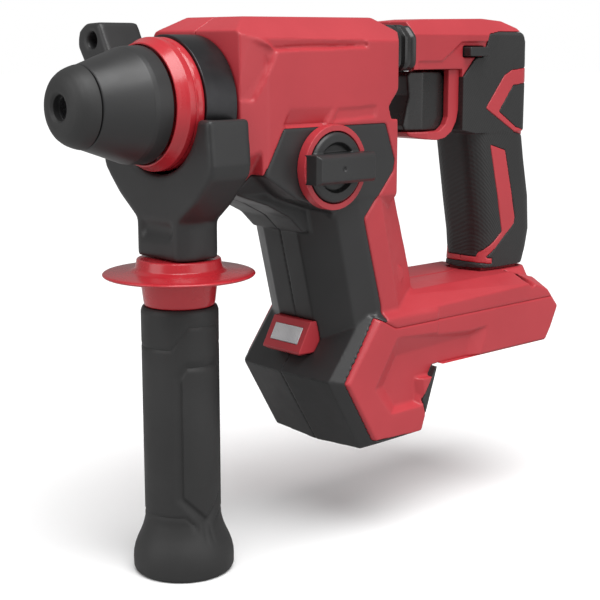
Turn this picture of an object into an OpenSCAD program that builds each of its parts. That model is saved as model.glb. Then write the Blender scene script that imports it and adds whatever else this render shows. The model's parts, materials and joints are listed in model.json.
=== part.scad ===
// Cordless rotary hammer, bare tool without its battery, as an assembly of separate pieces.
// Origin: centre of the bit bore at the nose face. -X is forward, +Z is up, -Y is the left side.

/* [Tool holder] */
// Bore of the spindle for a 10 mm bit shank
bit_bore_d = 10.1; // [10.05:0.01:10.2]
// Depth of the bit bore behind the dust cap
bit_depth = 42; // [38:1:44]
// Hole in the rubber dust cap
dust_hole_d = 10.6; // [10.4:0.1:11]
// Rearward travel of the locking sleeve
sleeve_travel = 6; // [4:0.5:6.5]

/* [Hammer mechanism] */
// Bore of the hammer tube
tube_bore_d = 24; // [23:0.5:24]
// Radial running clearance of pistons, shafts and bearings
run = 0.05; // [0.03:0.01:0.08]
// Throw of the crank pin
crank_throw = 8; // [6:0.5:8]
// Length of the connecting rod between its pins
rod_len = 30; // [29:0.5:31]

/* [Gears] */
// Teeth on the motor pinion
motor_teeth = 8; // [8:1:8]
// Teeth on the crank gear
crank_teeth = 36; // [36:1:36]
// Teeth on the layshaft gear
lay_teeth = 26; // [26:1:26]
// Teeth on the layshaft pinion that drives the spindle
pinion_teeth = 8; // [8:1:8]
// Teeth on the spindle's crown gear
crown_teeth = 40; // [40:1:40]

/* [Housing] */
// Half width of the gear housing
gear_half = 34; // [32:0.5:35]
// Half width of the battery foot
foot_half = 38; // [37:0.5:38.5]
// Wall thickness of the plastic shells
wall = 2.5; // [2:0.1:3]
// Lean of the motor column from vertical
lean = 13.6; // [13:0.1:14]

/* [Mode knob] */
// Knob axis behind the nose face
knob_x = 118; // [117:0.5:119]
// Knob axis below the spindle axis
knob_drop = 28.5; // [28:0.5:29]
// Diameter of the knob disc
knob_d = 31.6; // [31:0.2:32]

/* [Rear handle] */
// Half width of the handle beam
beam_half = 17; // [16:0.5:17.5]
// Travel of the trigger
trigger_travel = 6; // [4:0.5:6.5]
// Travel of the reversing lever to each side
lever_travel = 3; // [2:0.5:3]

/* [Side handle] */
// Distance of the side handle's axis behind the nose face
side_x = 59.5; // [59:0.1:60]
// Diameter of the clamp seat on the collar
seat_d = 55.2; // [55:0.2:55.6]
// Diameter of the hand guard
guard_d = 68; // [64:1:70]
// Diameter of the grip
grip_d = 34; // [32:0.5:35]
// Lowest point of the grip below the spindle axis
grip_drop = 211; // [205:1:212]
// Bore for the depth rod
rod_bore_d = 7.4; // [7:0.1:8]

/* [Hidden] */
eps = 0.01;
round_fn = 64;
fine_fn = 32;

// Shaft axes, parallel to Z, all in the plane Y = 0
gear_module = 1;
crown_module = 1.2;
layshaft_x = 96;
crank_x = layshaft_x + gear_module * (crank_teeth + lay_teeth) / 2;
motor_x = crank_x + gear_module * (crank_teeth + motor_teeth) / 2;
crown_r = crown_module * crown_teeth / 2;
crown_face_x = layshaft_x - crown_module * pinion_teeth / 2;

// Levels along Z in the gear case
gear_low = -34;
gear_high = -28.5;
plate_low = -41;
plate_high = -35.5;
bearing_low = -40.5;
bearing_high = -36;
disc_low = -12;
disc_high = -6;
rod_low = 0.5;
rod_high = 6.5;

// Spindle stations along X
spindle_front = 4;
spindle_r = 10.5;
tube_front = 56.2;
tube_rear = 112;
tube_r = 15;
bore_front = 58;
bit_end = spindle_front + bit_depth;
striker_front = bit_end + 17.5;
wrist_x = crank_x - crank_throw - rod_len;

// Locking sleeve stations along X
cap_end = 10;
sleeve_front = 10.5;
sleeve_rear = 40.2;
ball_x = 17;
ball_r = 2.7;

// Collar stations along X
collar_front = 40.6;
ring_end = 52.9;
seat_end = 69.9;
case_front = 70.3;

// Motor stations along Z
stator_low = -78;
stator_high = -48;

// Half distance between the tails of the clamp band
tail_y = 30.4;

// Handle pivot
pivot = [266, 0, -98];
pin_r = 3;

// Battery bay under the foot
bay_x = 192;
bay_half = 30;
lip_half = 25.5;
foot_low = -131.5;

// Side views of the housing, each point [x, z]
gear_side = [
    [case_front, -37], [case_front, 31], [81, 37], [160, 37.5], [169.5, 30], [169.5, 12],
    [157, -3], [165, -29], [164, -36], [171, -60], [118, -60], [110, -52.5], [97, -46]
];
column_side = [
    [70, -38], [98, -12], [163, -12], [167, -34], [195, -110], [195, -125], [100, -125]
];
boss_mid = [[119.3, -129.3], [143, -98], [190, -98], [190, -131], [181, -167], [142.8, -167.7]];
boss_edge = [[122, -129.6], [145, -99.5], [190, -99.5], [190, -131], [180, -165.5], [143.5, -166]];
boss_side = [[128.7, -130.6], [149, -103], [190, -103], [190, -131], [179, -162], [148, -162.5]];
foot_mid = [[150, -94], [262, -94], [282, -99], [290, -110], [284, foot_low], [150, foot_low]];
foot_side = [
    [150, -102.5], [226, -102.5], [266, -99], [279, -104], [288, -114], [282.5, -125],
    [278, foot_low], [150, foot_low]
];
dial_zone = [
    [92, -10.5], [155, -10.5], [161.5, -28], [160.5, -33], [142, -54], [154, -97], [154, -104],
    [100, -104], [60, -48], [60, -37], [77, -37]
];
boss_zone = [[100, -97], [152, -97], [147.6, -101.7], [150, -108], [195, -108], [195, -175], [100, -175]];
panel_zone = [
    [147.7, -101.6], [127.5, -130.2], [146, -161], [179, -162.5], [182.5, -157], [179.5, -147],
    [189.5, -131.2], [300, -131.2], [300, -108], [160, -108]
];
// Octagon of the gear housing seen from the front, each point [y, z]
gear_octagon = [
    [-19, 37.5], [19, 37.5], [gear_half, 27], [gear_half, -18], [18, -40], [18, -70],
    [-18, -70], [-18, -40], [-gear_half, -18], [-gear_half, 27]
];
// Gear housing seen from above, each point [x, y]
gear_plan = [
    [case_front, -30], [case_front, 30], [86, gear_half + 1], [162, gear_half + 1],
    [170, 26], [170, -26], [162, -gear_half - 1], [86, -gear_half - 1]
];
// Sides around the mode knob, from the side and from the front
cheek_side = [
    [80, -9], [163, -9], [166, -33], [160, -60], [132, -60], [124, -50], [100, -42], [80, -30]
];
cheek_front = [
    [-gear_half, 0], [-gear_half, -44], [-22, -62], [22, -62], [gear_half, -44], [gear_half, 0]
];
// Half of the column's section from its front face, each point [depth, half width]
column_half = [[0, 0], [0, 12], [10, 29.5], [22, 33.5], [36, 33.5], [58.5, 22], [60, 0]];

// Side screws, each [x, z, y of the head's outer face]
screws = [
    [97, 32, 20], [155, 31, 20], [170, -84, 28], [148, -112, 33.5], [131, -131, 29],
    [206, -114, 34], [278, -114, 34]
];
screw_r = 1.6;
head_h = 3;

// Grip of the rear handle, each station [x, z, half depth, half width]
grip_stations = [
    [262, -20, 22.5, 16.5], [265, -36, 22.5, 16.5], [269, -56, 23, 16.5], [271.5, -74, 22.5, 16],
    [271, -84, 21.5, 15.5], [269, -92.5, 20.5, 15.5]
];
grip_corner = 11;
skin = 2.4;
beam_corner = 9;
led_tilt = 28.6;
beam_side = [
    [192, 13], [192, 36.4], [205, 37.5], [252, 38.3], [266, 37.2], [275, 33.6], [279.5, 27],
    [280.5, 14], [282.5, -2], [284.5, -20], [239, -20], [229, -18], [229, 13]
];
trigger_side = [
    [198.6, 10], [199.5, 0], [196.5, -14.6], [197.8, -17.4], [220, -17.4], [222, -13.6], [222, 8.4],
    [219.1, 11.6], [200, 12]
];
guard_outer = [
    [196.5, -18], [198, -20.2], [205, -21.6], [213, -22.3], [219, -21.4], [224, -18.5], [227.4, -13.5],
    [228.9, -8], [228.9, 12.9], [221, 12.9], [221, 7], [190, 7], [190, -18]
];
guard_inner = [
    [180, 7.2], [221, 7.2], [221, -11], [219, -15], [215, -17.6], [209, -18], [180, -18]
];
skin_zone = [
    [200, -100], [200, 9], [229.5, 9], [237, 17], [247, 24], [249, 30.3], [258, 31.6], [300, 31.6],
    [300, -100]
];
chevron = [
    [247.4, -7.3], [261.8, 9.3], [268, 12], [290, 14], [290, 6], [269.3, 4], [258.1, -9.2], [272.5, -17.9],
    [290, -22], [290, -24.5], [271.5, -20.4]
];
stripe = [
    [252.4, -26.3], [264.8, -29.8], [275.1, -66.6], [274.5, -70], [250.9, -89.7], [224, -86], [224, -83.3],
    [249.2, -86.1], [264.6, -73.5]
];

red = "crimson";
black = "dimgray";
steel = "silver";
copper = "peru";

// ---- Shared shapes ----

// Cylinder along X from x0 to x1
module rod_x(x0, x1, r, fn = round_fn) {
    translate([x0, 0, 0]) rotate([0, 90, 0]) cylinder(r = r, h = x1 - x0, $fn = fn);
}

// Cylinder along Z at x from z0 to z1
module rod_z(x, z0, z1, r, fn = round_fn) {
    translate([x, 0, z0]) cylinder(r = r, h = z1 - z0, $fn = fn);
}

// Cylinder along Y at [x, z] from y0 to y1
module rod_y(at, y0, y1, r, fn = round_fn) {
    translate([at[0], y1, at[1]]) rotate([90, 0, 0]) cylinder(r = r, h = y1 - y0, $fn = fn);
}

// Body turned around the X axis from [x, r] points
module turned_x(points, fn = round_fn) {
    rotate([0, 90, 0]) rotate_extrude($fn = fn) polygon([for (p = points) [p[1], p[0]]]);
}

// Side view [x, z] given a width between y0 and y1
module side_plate(points, y0, y1) {
    translate([0, y1, 0]) rotate([90, 0, 0]) linear_extrude(height = y1 - y0) polygon(points);
}

// Thin slice of a side view, drawn in by inset
module side_slice(points, y, inset) {
    translate([0, y, 0]) rotate([90, 0, 0])
        linear_extrude(height = 2 * eps, center = true) offset(delta = -inset) polygon(points);
}

// Spur gear with straight-sided teeth; half widths at root, and tip
module spur_gear(teeth, r_root, r_tip, w_root, w_tip, z0, z1, phase = 0) {
    translate([0, 0, z0]) linear_extrude(height = z1 - z0) union() {
        circle(r = r_root, $fn = round_fn);
        for (i = [0 : teeth - 1]) rotate((i + phase) * 360 / teeth)
            polygon([[r_root - 0.5, -w_root], [r_tip, -w_tip], [r_tip, w_tip], [r_root - 0.5, w_root]]);
    }
}

// Helical wire along Z from 0 to length
module coil(r, wire, turns, length) {
    per_turn = 14;
    sides = 6;
    rings = turns * per_turn;
    points = [
        for (i = [0 : rings]) for (k = [0 : sides - 1])
            let (a = 360 * i / per_turn, b = 360 * k / sides, q = r + wire * cos(b))
                [q * cos(a), q * sin(a), wire + (length - 2 * wire) * i / rings + wire * sin(b)]
    ];
    walls = [
        for (i = [0 : rings - 1]) for (k = [0 : sides - 1]) for (upper = [0, 1])
            let (n = (k + 1) % sides, a = i * sides + k, d = (i + 1) * sides + n)
                upper == 0 ? [a, (i + 1) * sides + k, d] : [a, d, i * sides + n]
    ];
    ends = [[for (k = [0 : sides - 1]) k], [for (k = [sides - 1 : -1 : 0]) rings * sides + k]];
    polyhedron(points = points, faces = concat(walls, ends), convexity = 6);
}

// Everything on one side of the middle plane: side -1 is left, +1 is right
module half(side) {
    intersection() {
        children();
        translate([-10, side < 0 ? -100 : 0, -300]) cube([400, 100, 400]);
    }
}

// ---- Housing volumes ----

module gear_volume(inset) {
    intersection() {
        translate([0, 50, 0]) rotate([90, 0, 0])
            linear_extrude(height = 100) offset(delta = -inset) polygon(gear_side);
        rotate([90, 0, 90]) linear_extrude(height = 200) offset(delta = -inset) polygon(gear_octagon);
        translate([0, 0, -80]) linear_extrude(height = 160) offset(delta = -inset)
            polygon(gear_plan);
    }
}

module column_volume(inset) {
    outline = concat(column_half, [for (i = [len(column_half) - 2 : -1 : 1])
        [column_half[i][0], -column_half[i][1]]]);
    intersection() {
        translate([119, 0, -60]) rotate([0, -lean, 0]) translate([0, 0, -80])
            linear_extrude(height = 160) offset(delta = -inset) polygon(outline);
        side_plate(column_side, -50, 50);
    }
}

// Deep sides of the gear housing, around the mode knob
module cheek_volume(inset) {
    intersection() {
        translate([0, 50, 0]) rotate([90, 0, 0])
            linear_extrude(height = 100) offset(delta = -inset) polygon(cheek_side);
        rotate([90, 0, 90]) linear_extrude(height = 200) offset(delta = -inset) polygon(cheek_front);
        translate([0, 0, -80]) linear_extrude(height = 160) offset(delta = -inset) polygon(gear_plan);
    }
}

module boss_volume(inset) {
    hull() {
        side_slice(boss_mid, 0, inset);
        for (s = [-1, 1]) {
            side_slice(boss_edge, s * (30 - inset / 2), inset);
            side_slice(boss_side, s * (foot_half - eps - inset), inset);
        }
    }
}

module foot_volume(inset) {
    hull() for (s = [-1, 1]) {
        side_slice(foot_mid, s * (24 - inset / 2), inset);
        side_slice(foot_side, s * (foot_half - 1 - inset), inset);
    }
}

// Space the battery slides into, with a lip along each side
module battery_bay() {
    translate([bay_x, -bay_half, -127]) cube([120, 2 * bay_half, 7]);
    translate([bay_x, -lip_half, -140]) cube([120, 2 * lip_half, 15]);
}

// Flared foot that carries the rear handle
module handle_foot(inset) {
    hull() {
        translate([269, 0, -94.2]) linear_extrude(height = eps)
            offset(r = 11 - inset) square([20, 11], center = true);
        translate([258, 0, -100]) linear_extrude(height = eps)
            offset(r = 12 - inset) square([32, 24], center = true);
    }
}

module outer_volume() {
    gear_volume(0);
    cheek_volume(0);
    column_volume(0);
    boss_volume(0);
    foot_volume(0);
    handle_foot(0);
}

module inner_volume() {
    gear_volume(wall);
    translate([0, 0, wall + 0.5]) cheek_volume(wall);
    cheek_volume(wall);
    difference() {
        column_volume(wall);
        translate([60, -60, -20]) cube([120, 120, 40]);
    }
    boss_volume(wall + 1);
    intersection() {
        foot_volume(wall);
        translate([100, -60, -117.5]) cube([200, 120, 60]);
    }
}

module screw_posts() {
    for (at = screws) rod_y(at, -1.5 - at[2], at[2] + 1.5, 4, fine_fn);
}

module shell_cuts() {
    battery_bay();
    rod_x(60, 90, 24.1);
    for (at = screws) {
        rod_y(at, 5 - at[2], 50, screw_r + 0.05, fine_fn);
        rod_y(at, at[2] - head_h, 50, 3.3, fine_fn);
    }
    rod_y([pivot[0], pivot[2]], -50, 50, pin_r, fine_fn);
    translate([252, -12.5, -106]) cube([33, 25, 40]);
    rod_y([knob_x, -knob_drop], -50, -20, 5.3);
    led_pocket();
    terminal_pocket();
}

module led_pocket() {
    translate([112, -13.1, -119.9]) cube([22, 26.2, 16]);
}

module terminal_pocket() {
    translate([185, -18.1, -131]) cube([14, 36.2, 13.2]);
}

// Shell material: skin plus screw posts
module shell() {
    difference() {
        union() {
            difference() {
                outer_volume();
                inner_volume();
            }
            screw_posts();
        }
        shell_cuts();
    }
}

module black_zone() {
    side_plate(dial_zone, -50, 50);
    side_plate(boss_zone, -50, 50);
}

module panel_block() {
    for (s = [-1, 1]) translate([0, s * 36.5, 0]) side_plate(panel_zone, -3, 3);
}

module housing(side) {
    color(red) half(side) difference() {
        shell();
        black_zone();
        panel_block();
    }
}

module front_cover(side) {
    color(black) half(side) difference() {
        intersection() {
            shell();
            black_zone();
        }
        panel_block();
    }
}

module foot_panel(side) {
    color(red) half(side) intersection() {
        difference() {
            outer_volume();
            shell_cuts();
        }
        panel_block();
    }
}

module housing_left() { housing(-1); }
module housing_right() { housing(1); }
module front_cover_left() { front_cover(-1); }
module front_cover_right() { front_cover(1); }
module foot_panel_left() { foot_panel(-1); }
module foot_panel_right() { foot_panel(1); }

// ---- Fixed pieces ----

// Collar that the side handle clamps to, with a ridged red ring in front
module nose_collar() {
    seat_r = seat_d / 2;
    color(red) difference() {
        turned_x([
            [collar_front, 25.3], [collar_front, 26.2], [44, 27.2], [45.5, 28.4], [48.5, 28.4],
            [49.5, 27.9], [51, 28.5], [ring_end, 28.5], [ring_end, seat_r], [seat_end, seat_r],
            [seat_end, 24], [74, 24], [74, 20], [56, 20], [56, 16.05], [42, 16.05], [42, 19],
            [47.5, 19], [47.5, 25.3]
        ]);
    }
}

module dial_bezel() {
    at = [knob_x, -knob_drop];
    color(red) difference() {
        rod_y(at, -39.2, -gear_half, 19);
        rod_y(at, -50, -gear_half - 1.2, 16.2);
        rod_y(at, -50, 0, 6);
    }
}

module led_housing() {
    color(red) difference() {
        hull() {
            translate([127, -13, -105]) cube([6, 26, 1]);
            translate([119.6, -13, -118.6]) cube([6, 26, 1]);
            translate([121.5, -11, -119.8]) cube([10, 22, 1]);
            translate([132, -13, -119]) cube([1, 26, 15]);
        }
        led_seat(0.05);
        hull() {
            board_seat(0.05);
            translate([5, 0, 0]) board_seat(0.05);
        }
    }
}

module led_seat(gap) {
    translate([124.79, 0, -111.6]) rotate([0, led_tilt, 0])
        cube([4 + 2 * gap, 19 + 2 * gap, 8.4 + 2 * gap], center = true);
}

module led_lens() { color("white") led_seat(0); }

module board_seat(gap) {
    translate([127.2, 0, -112.93]) rotate([0, led_tilt, 0])
        cube([1.2 + 2 * gap, 12 + 2 * gap, 5 + 2 * gap], center = true);
}

module led_board() { color("green") board_seat(0); }

// Cast gear case with the bores of all bearings
module gear_case() {
    color("gainsboro") difference() {
        union() {
            translate([0, 0, plate_low]) linear_extrude(height = plate_high - plate_low) polygon([
                [90, -12], [110, -12], [116, -14.5], [127, -24.5], [160, -24.5],
                [160, 24.5], [127, 24.5], [116, 14.5], [110, 12], [90, 12]
            ]);
            rod_x(103.5, 111.5, 25.5);
            translate([103.5, -24.5, -27]) cube([33.5, 49, 6]);
            for (s = [-1, 1])
                translate([128, s * 22.4 - 2.1, plate_low]) cube([9, 4.2, -21 - plate_low]);
        }
        rod_x(100, 115, 21.05);
        rod_z(crank_x, plate_low - 1, plate_high + 1, 9.05);
        rod_z(crank_x, gear_high, -10, 11.05);
        rod_z(layshaft_x, plate_low - 1, plate_high + 1, 5.05);
        rod_z(motor_x, plate_low - 1, plate_high + 1, 8.05);
    }
}

module stator_core() {
    slots = 6;
    color(steel) difference() {
        rod_z(motor_x, stator_low, stator_high, 18.5);
        rod_z(motor_x, stator_low - 1, stator_high + 1, 9.8);
        for (i = [0 : slots - 1]) translate([motor_x, 0, 0]) rotate(i * 60 + 30)
            translate([9, -2.6, stator_low - 1]) cube([6.5, 5.2, 32]);
    }
}

// Coils of copper wire, one in each slot of the core
module stator_windings() {
    slots = 6;
    color(copper) for (i = [0 : slots - 1]) translate([motor_x, 0, 0]) rotate(i * 60 + 30)
        translate([10.6, -2.3, stator_low - 3]) cube([4.6, 4.6, stator_high - stator_low + 6]);
}

// Ball bearing as one ring, with its bore for a shaft
module bearing_z(x, z0, z1, r_out, r_in) {
    difference() {
        rod_z(x, z0, z1, r_out);
        rod_z(x, z0 - 1, z1 + 1, r_in + run);
    }
}

module motor_bearings() {
    color(steel) {
        bearing_z(motor_x, bearing_low, bearing_high, 8, 3);
        bearing_z(motor_x, -98, -93, 8, 3);
    }
}

module crank_bearings() {
    color(steel) {
        bearing_z(crank_x, bearing_low, bearing_high, 9, 4);
        bearing_z(crank_x, -27, -21, 11, 5);
    }
}

module layshaft_bearing() {
    color(steel) bearing_z(layshaft_x, bearing_low, bearing_high, 5, 2.5);
}

module front_bearing() {
    color(steel) difference() {
        rod_x(43, 55.9, 16);
        rod_x(40, 60, spindle_r + run);
    }
}

module rear_bearing() {
    color(steel) difference() {
        rod_x(104, 111, 21);
        rod_x(100, 115, tube_r + run);
    }
}

// Lip seal behind the front bearing
module oil_seal() {
    color(black) difference() {
        rod_x(60.5, 65, 19.9);
        rod_x(60, 66, tube_r + 0.3);
    }
}

// Motor controller in its potting tray
module controller() {
    color(black) translate([142, -22, -156]) cube([34, 44, 6]);
    color("green") translate([143, -21, -150]) cube([32, 42, 1.6]);
    color(steel) for (i = [-1, 0, 1]) translate([148, i * 12 - 4, -148.4]) cube([9, 8, 4]);
}

module terminal_block() {
    color(black) difference() {
        translate([185.1, -18, -130.9]) cube([6.5, 36, 13]);
        for (i = [-1.5 : 1 : 1.5]) translate([180, i * 8 - 0.5, -129]) cube([20, 1, 9]);
    }
}

// Four blades that enter the battery
module battery_terminals() {
    color(copper) for (i = [-1.5 : 1 : 1.5]) translate([183, i * 8 - 0.45, -128.5]) cube([19, 0.9, 8]);
}

module housing_screws() {
    color(steel) for (at = screws) {
        difference() {
            rod_y(at, at[2] - head_h, at[2], 3.2, fine_fn);
            translate([at[0], at[2] + 0.1, at[1]]) rotate([90, 0, 0]) cylinder(r = 1.4, h = 1.6, $fn = 6);
        }
        rod_y(at, 6 - at[2], at[2] - head_h, screw_r, fine_fn);
    }
}

module handle_pivot_pin() {
    color(steel) rod_y([pivot[0], pivot[2]], -20, 20, pin_r - 0.01);
}

// ---- Spindle and chuck ----

module spindle_tube() {
    color(steel) difference() {
        union() {
            rod_x(spindle_front, tube_front + 1, spindle_r);
            rod_x(tube_front, tube_rear, tube_r);
        }
        rod_x(0, bit_end, bit_bore_d / 2);
        rod_x(bit_end - eps, bore_front + eps, 8.05);
        rod_x(bore_front, tube_rear + 1, tube_bore_d / 2 + run);
        for (s = [-1, 1]) rod_y([ball_x, 0], min(0, s * 20), max(0, s * 20), ball_r + run, fine_fn);
    }
}

// Crown gear pressed on the hammer tube, its teeth facing rearward
module spindle_gear() {
    root_x = crown_face_x - 1.5;
    tip_x = crown_face_x + 0.8;
    color(steel) difference() {
        union() {
            rod_x(84, root_x, 25.5);
            for (i = [0 : crown_teeth - 1]) rotate([(i + 0.5) * 360 / crown_teeth, 0, 0])
                translate([0, 0, -25.5]) linear_extrude(height = 4.5)
                    polygon([[root_x - 1, -0.75], [tip_x, -0.42], [tip_x, 0.42], [root_x - 1, 0.75]]);
        }
        rod_x(80, 95, tube_r);
    }
}

module locking_balls() {
    color(steel) for (s = [-1, 1]) translate([ball_x, s * 8.1, 0]) sphere(r = ball_r, $fn = fine_fn);
}

// Rubber nose that keeps dust out of the chuck
module dust_cap() {
    color(black) difference() {
        turned_x([
            [0, 0], [0, 9], [0.6, 11.5], [2, 13.6], [4.2, 15.3], [7, 16.5], [cap_end, 17.4],
            [cap_end, 0]
        ]);
        rod_x(-1, spindle_front + 1, dust_hole_d / 2);
        rod_x(spindle_front, cap_end + 1, spindle_r);
    }
}

module sleeve_spring() {
    color(steel) translate([20.6, 0, 0]) rotate([0, 90, 0]) coil(13, 0.8, 5, 18.6);
}

module spring_washer() {
    color(steel) difference() {
        rod_x(39.4, 40.9, 15);
        rod_x(39, 42, spindle_r);
    }
}

module locking_sleeve() {
    color(black) difference() {
        turned_x([
            [sleeve_front, 0], [sleeve_front, 17.4], [31, 24.2], [33, 24.6], [sleeve_rear, 24.9],
            [sleeve_rear, 0]
        ]);
        rod_x(0, 60, 11.3);
        rod_x(20.3, 60, 16);
        rod_x(28, 60, 21);
    }
}

// ---- Hammer parts ----

module impact_bolt() {
    color(steel) {
        rod_x(bit_end + 0.5, bit_end + 8, 8);
        rod_x(bit_end + 7, bit_end + 14, 5);
    }
}

module striker() {
    color(steel) difference() {
        union() {
            rod_x(striker_front, striker_front + 3, 8);
            rod_x(striker_front + 2, striker_front + 14, tube_bore_d / 2 - 0.05);
        }
        ring_groove(striker_front + 6, striker_front + 8.2);
    }
}

module ring_groove(x0, x1) {
    difference() {
        rod_x(x0, x1, 15);
        rod_x(x0 - 1, x1 + 1, 10);
    }
}

// Sealing ring in a piston groove
module seal_ring(x0, x1) {
    difference() {
        rod_x(x0, x1, tube_bore_d / 2 - 0.02);
        rod_x(x0 - 1, x1 + 1, 10);
    }
}

module striker_ring() { color(black) seal_ring(striker_front + 6, striker_front + 8.2); }

module piston() {
    color(steel) difference() {
        rod_x(wrist_x - 8.5, wrist_x + 8, tube_bore_d / 2 - 0.05);
        ring_groove(wrist_x - 7.5, wrist_x - 5.5);
        translate([wrist_x - 5, -20, rod_low - 0.4]) cube([30, 40, rod_high - rod_low + 0.8]);
        rod_z(wrist_x, -20, 20, 2.5);
    }
}

module piston_ring() { color(black) seal_ring(wrist_x - 7.5, wrist_x - 5.5); }

module wrist_pin() { color(steel) rod_z(wrist_x, -8.5, 10.5, 2.5); }

// Rod with an eye at each end; its rear eye lies over the crank pin
module connecting_rod() {
    end_x = wrist_x + rod_len;
    color(steel) difference() {
        union() {
            rod_z(wrist_x, rod_low, rod_high, 4.8);
            rod_z(end_x, rod_low, rod_high, 6);
            translate([wrist_x, -2.7, rod_low]) cube([rod_len, 5.4, rod_high - rod_low]);
        }
        rod_z(wrist_x, -20, 20, 2.5 + run);
        rod_z(end_x, -20, 20, 3.55);
    }
}

module crankshaft() {
    color(steel) {
        rod_z(crank_x, bearing_low - 0.1, gear_low, 4);
        rod_z(crank_x, gear_low, disc_low, 5);
        rod_z(crank_x, disc_low, disc_high, 12.5);
        rod_z(crank_x - crank_throw, disc_high - 1, rod_low - 0.4, 3.5);
    }
}

module crank_gear() {
    color(steel) translate([crank_x, 0, 0]) difference() {
        spur_gear(crank_teeth, 16.8, 18.7, 0.95, 0.35, gear_low, gear_high, 0.5);
        rod_z(0, -50, 0, 5);
    }
}

module layshaft() {
    color(steel) {
        rod_z(layshaft_x, bearing_low - 0.1, -26.5, 2.5);
        translate([layshaft_x, 0, 0]) spur_gear(pinion_teeth, 3.6, 5.5, 0.85, 0.5, -26.5, -21, 0);
    }
}

module layshaft_gear() {
    color(steel) translate([layshaft_x, 0, 0]) difference() {
        spur_gear(lay_teeth, 11.8, 13.7, 0.95, 0.35, gear_low, gear_high, 0);
        rod_z(0, -50, 0, 2.5);
    }
}

// ---- Motor ----

module rotor() {
    color(steel) difference() {
        rod_z(motor_x, stator_low, stator_high, 9.3);
        rod_z(motor_x, stator_low - 1, stator_high + 1, 3);
    }
}

module motor_shaft() {
    color(steel) {
        rod_z(motor_x, -98.5, gear_low - 0.5, 3);
        translate([motor_x, 0, 0]) spur_gear(motor_teeth, 2.7, 4.8, 0.75, 0.3, gear_low - 0.5, gear_high + 0.5, 0);
    }
}

module cooling_fan() {
    blades = 9;
    color(black) difference() {
        union() {
            rod_z(motor_x, -91, -89.5, 17);
            rod_z(motor_x, -91, -83.5, 6);
            for (i = [0 : blades - 1]) translate([motor_x, 0, -90]) rotate(i * 360 / blades)
                translate([5, -0.6, 0]) cube([11.5, 1.2, 6]);
        }
        rod_z(motor_x, -95, -80, 3);
    }
}

// ---- Controls ----

module mode_knob() {
    at = [knob_x, -knob_drop];
    color(black) {
        rod_y(at, -40.3, -gear_half - 1.5, knob_d / 2);
        intersection() {
            translate([knob_x - 18, -47.5, -knob_drop - 6.5]) cube([36, 9, 13]);
            hull() {
                translate([knob_x - 18, -45.5, -knob_drop - 6.5]) cube([36, 6, 13]);
                translate([knob_x - 16.5, -47.5, -knob_drop - 5]) cube([33, 6, 10]);
            }
        }
        rod_y(at, -gear_half - 2, -27.5, 5);
        rod_y([knob_x + 3, -knob_drop], -28, -26, 1.5);
    }
}

module grip_section(s, inset) {
    r = grip_corner - inset;
    translate([s[0], 0, s[1]]) linear_extrude(height = eps)
        offset(r = r) square([2 * (s[2] - grip_corner), 2 * (s[3] - grip_corner)], center = true);
}

module grip_volume(inset) {
    for (i = [0 : len(grip_stations) - 2]) hull() {
        grip_section(grip_stations[i], inset);
        grip_section(grip_stations[i + 1], inset);
    }
}

module beam_volume(inset) {
    intersection() {
        translate([0, 50, 0]) rotate([90, 0, 0]) linear_extrude(height = 100)
            offset(delta = -inset) polygon(beam_side);
        rotate([90, 0, 90]) linear_extrude(height = 400) offset(delta = -inset) polygon([
            [-9, 38.5], [9, 38.5], [beam_half, 30], [beam_half, -30], [-beam_half, -30], [-beam_half, 30]
        ]);
        translate([0, 0, -60]) linear_extrude(height = 120) offset(delta = -inset)
            offset(r = beam_corner) offset(delta = -beam_corner)
            translate([150, -beam_half]) square([134.5, 2 * beam_half]);
    }
}

// Rigid core under the soft skin, with a neck that joins beam and grip
module handle_core() {
    beam_volume(skin);
    grip_volume(skin);
    translate([246, -11, -24]) cube([32, 22, 12]);
}

// Room taken by the soft skin, reaching past the outer surface
module skin_room() {
    difference() {
        side_plate(skin_zone, -50, 50);
        handle_core();
        accent();
    }
}

module handle_full() {
    beam_volume(0);
    grip_volume(0);
}

module accent() {
    for (s = [-1, 1]) translate([0, s * 15, 0]) {
        side_plate(chevron, -5, 5);
        side_plate(stripe, -5, 5);
    }
    side_plate([[224, -86], [249, -89.3], [258, -90.5], [258, -87.5], [249.2, -86.1], [224, -83.3]], -50, 50);
}

module handle_cuts() {
    translate([228, -8, -16]) cube([26, 16, 27]);
    translate([226, -8.5, -16]) cube([8, 17, 29]);
    translate([229, -50, 18.8]) cube([16.5, 100, 5.7]);
    translate([180, -11, 16]) cube([30, 22, 14]);
    translate([255.5, -9, -110]) cube([22, 18, 26]);
    difference() {
        translate([252, -9, -84.5]) cube([30, 18, 60]);
        translate([250, -50, -60]) cube([50, 100, 4]);
    }
}

module handle_solid() {
    difference() {
        union() {
            difference() {
                handle_full();
                skin_room();
            }
            translate([254, -11, -97]) cube([29, 22, 6]);
            rod_y([pivot[0], pivot[2]], -11, 11, 6.5, fine_fn);
        }
        handle_cuts();
        rod_y([pivot[0], pivot[2]], -20, 20, pin_r + run);
    }
}

module handle_left() { color(red) half(-1) handle_solid(); }
module handle_right() { color(red) half(1) handle_solid(); }

module handle_overmold() {
    color(black) difference() {
        intersection() {
            handle_full();
            skin_room();
        }
        handle_cuts();
    }
}

// Red frame behind and below the trigger, with a slot that the trigger slides into
module trigger_guard() {
    color(red) difference() {
        intersection() {
            side_plate(guard_outer, -14, 14);
            translate([0, 0, -30]) linear_extrude(height = 60)
                polygon([[195, -7.5], [206, -14], [240, -14], [240, 14], [206, 14], [195, 7.5]]);
        }
        side_plate(guard_inner, -20, 20);
        translate([190, -10.4, -17.8]) cube([60, 20.8, 40]);
    }
}

module switch_body() {
    color(black) difference() {
        translate([234.2, -7.5, -15.5]) cube([19, 15, 24]);
        translate([232, -4, -6]) cube([12, 8, 8]);
    }
}

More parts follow.
